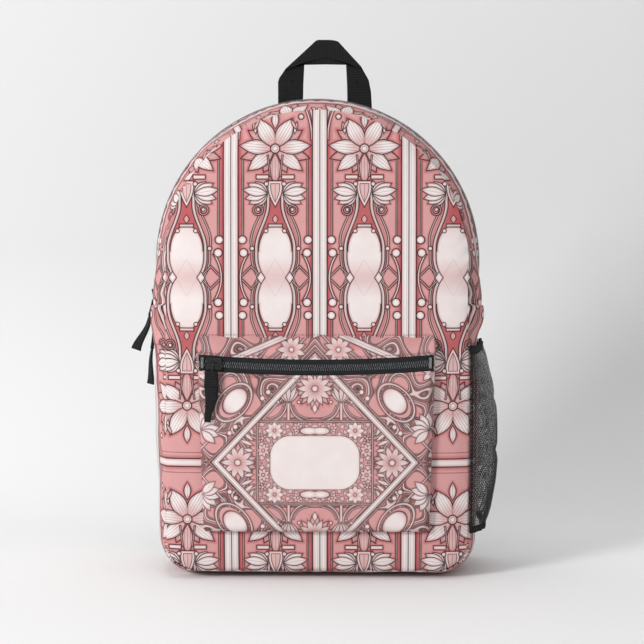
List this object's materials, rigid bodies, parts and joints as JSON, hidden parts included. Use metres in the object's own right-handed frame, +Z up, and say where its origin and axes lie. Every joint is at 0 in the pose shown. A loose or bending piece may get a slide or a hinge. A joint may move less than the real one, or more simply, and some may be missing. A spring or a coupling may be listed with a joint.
{
  "type": "school backpack",
  "caption": "Round-topped school backpack with a zipped front pocket, a mesh side pocket, a webbing grab handle and padded shoulder straps.",
  "frame": {"origin": "middle of the flat base, where the bag stands", "axes": "+Z up, -Y the printed front, +Y the back with the shoulder straps, +X the side with the mesh pocket"},
  "size_m": [0.346, 0.1905, 0.521],
  "materials": {
    "printed_fabric": "printed polyester weave",
    "webbing": "ribbed webbing",
    "air_mesh": "spacer mesh",
    "pocket_mesh": "open knitted mesh",
    "lining": "plain weave",
    "foam": "closed-cell foam",
    "zip_tape": "woven tape",
    "zip_coil": "nylon coil",
    "slider_metal": "black enamel",
    "buckle_plastic": "moulded acetal"
  },
  "bodies": {
    "root": {"base_gusset": "printed_fabric", "front_panel_lower": "printed_fabric", "front_gusset_lower": "printed_fabric", "rear_gusset_strip": "printed_fabric", "back_panel": "air_mesh", "back_foam": "foam", "laptop_sleeve": "lining", "sleeve_foam": "foam", "sleeve_binding": "webbing", "rear_seam_binding": "webbing", "front_seam_binding": "webbing", "pocket_panel": "printed_fabric", "pocket_top_strip": "printed_fabric", "pocket_gusset": "printed_fabric", "pocket_lining": "lining", "pocket_zip_tape_upper": "zip_tape", "pocket_zip_tape_lower": "zip_tape", "pocket_zip_coil_upper": "zip_coil", "pocket_zip_coil_lower": "zip_coil", "pocket_zip_stops": "zip_coil", "main_zip_tape_rear": "zip_tape", "main_zip_tape_front_ends": "zip_tape", "main_zip_coil_rear": "zip_coil", "main_zip_coil_front_ends": "zip_coil", "main_zip_stops": "zip_coil", "mesh_pocket": "pocket_mesh", "mesh_pocket_binding": "webbing", "strap_yoke": "webbing", "handle_patch": "webbing", "anchor_tab_left": "webbing", "anchor_tab_right": "webbing"},
    "front_flap": {"front_panel_upper": "printed_fabric", "front_gusset_upper": "printed_fabric", "main_zip_tape_front": "zip_tape", "main_zip_coil_front": "zip_coil"},
    "upper_slider": {"main_slider_upper": "slider_metal"},
    "upper_pull": {"upper_pull_ring": "slider_metal", "upper_puller": "webbing"},
    "lower_slider": {"main_slider_lower": "slider_metal"},
    "lower_pull": {"lower_pull_ring": "slider_metal", "lower_puller": "webbing"},
    "pocket_slider_body": {"pocket_slider": "slider_metal"},
    "pocket_pull": {"pocket_pull_ring": "slider_metal", "pocket_puller": "webbing"},
    "handle": {"top_handle": "webbing"},
    "strap_left": {"strap_cover_left": "air_mesh", "strap_foam_left": "foam", "lock_tab_left": "webbing", "ladder_lock_left": "buckle_plastic", "strap_tail_left": "webbing"},
    "strap_right": {"strap_cover_right": "air_mesh", "strap_foam_right": "foam", "lock_tab_right": "webbing", "ladder_lock_right": "buckle_plastic", "strap_tail_right": "webbing"},
    "webbing_left": {"lower_webbing_left": "webbing"},
    "webbing_right": {"lower_webbing_right": "webbing"}
  },
  "joints": [
    {"name": "front_flap_open", "type": "hinge", "parent": "root", "child": "front_flap", "pos_m": [0, -0.07, 0.238], "axis": [1, 0, 0], "range_deg": [0, 30]},
    {"name": "upper_slider_travel", "type": "hinge", "parent": "root", "child": "upper_slider", "pos_m": [0, -0.022, 0.3005], "axis": [0, 1, 0], "range_deg": [0, 202.7]},
    {"name": "upper_pull_lift", "type": "hinge", "parent": "upper_slider", "child": "upper_pull", "pos_m": [-0.15687, -0.022, 0.26902], "axis": [0, 1, 0], "range_deg": [0, 115]},
    {"name": "lower_slider_travel", "type": "slide", "parent": "root", "child": "lower_slider", "axis": [0.1111, 0, 0.9938], "range_m": [0, 0.012]},
    {"name": "lower_pull_swing", "type": "hinge", "parent": "lower_slider", "child": "lower_pull", "pos_m": [-0.15716, -0.022, 0.23756], "axis": [-0.9938, 0, 0.1111], "range_deg": [-30, 30]},
    {"name": "pocket_slider_travel", "type": "hinge", "parent": "root", "child": "pocket_slider_body", "pos_m": [0, -0.084, 1.502], "axis": [0, -1, 0], "range_deg": [0, 8.47]},
    {"name": "pocket_pull_lift", "type": "hinge", "parent": "pocket_slider_body", "child": "pocket_pull", "pos_m": [-0.096, -0.0911, 0.20555], "axis": [-1, 0, 0], "range_deg": [0, 150]},
    {"name": "handle_fold", "type": "hinge", "parent": "root", "child": "handle", "pos_m": [0, 0.069, 0.4495], "axis": [1, 0, 0], "range_deg": [-90, 60]},
    {"name": "strap_left_swing", "type": "hinge", "parent": "root", "child": "strap_left", "pos_m": [0, 0.085, 0.402], "axis": [1, 0, 0], "range_deg": [0, 20]},
    {"name": "webbing_left_swing", "type": "hinge", "parent": "root", "child": "webbing_left", "pos_m": [0, 0.0736, 0.03], "axis": [1, 0, 0], "range_deg": [-32, 0]},
    {"name": "strap_right_swing", "type": "hinge", "parent": "root", "child": "strap_right", "pos_m": [0, 0.085, 0.402], "axis": [1, 0, 0], "range_deg": [0, 20]},
    {"name": "webbing_right_swing", "type": "hinge", "parent": "root", "child": "webbing_right", "pos_m": [0, 0.0736, 0.03], "axis": [1, 0, 0], "range_deg": [-32, 0]}
  ],
  "couplings": [
    {"joint": "webbing_left_swing", "follows": "strap_left_swing", "ratio": -1.55},
    {"joint": "webbing_right_swing", "follows": "strap_right_swing", "ratio": -1.55}
  ]
}
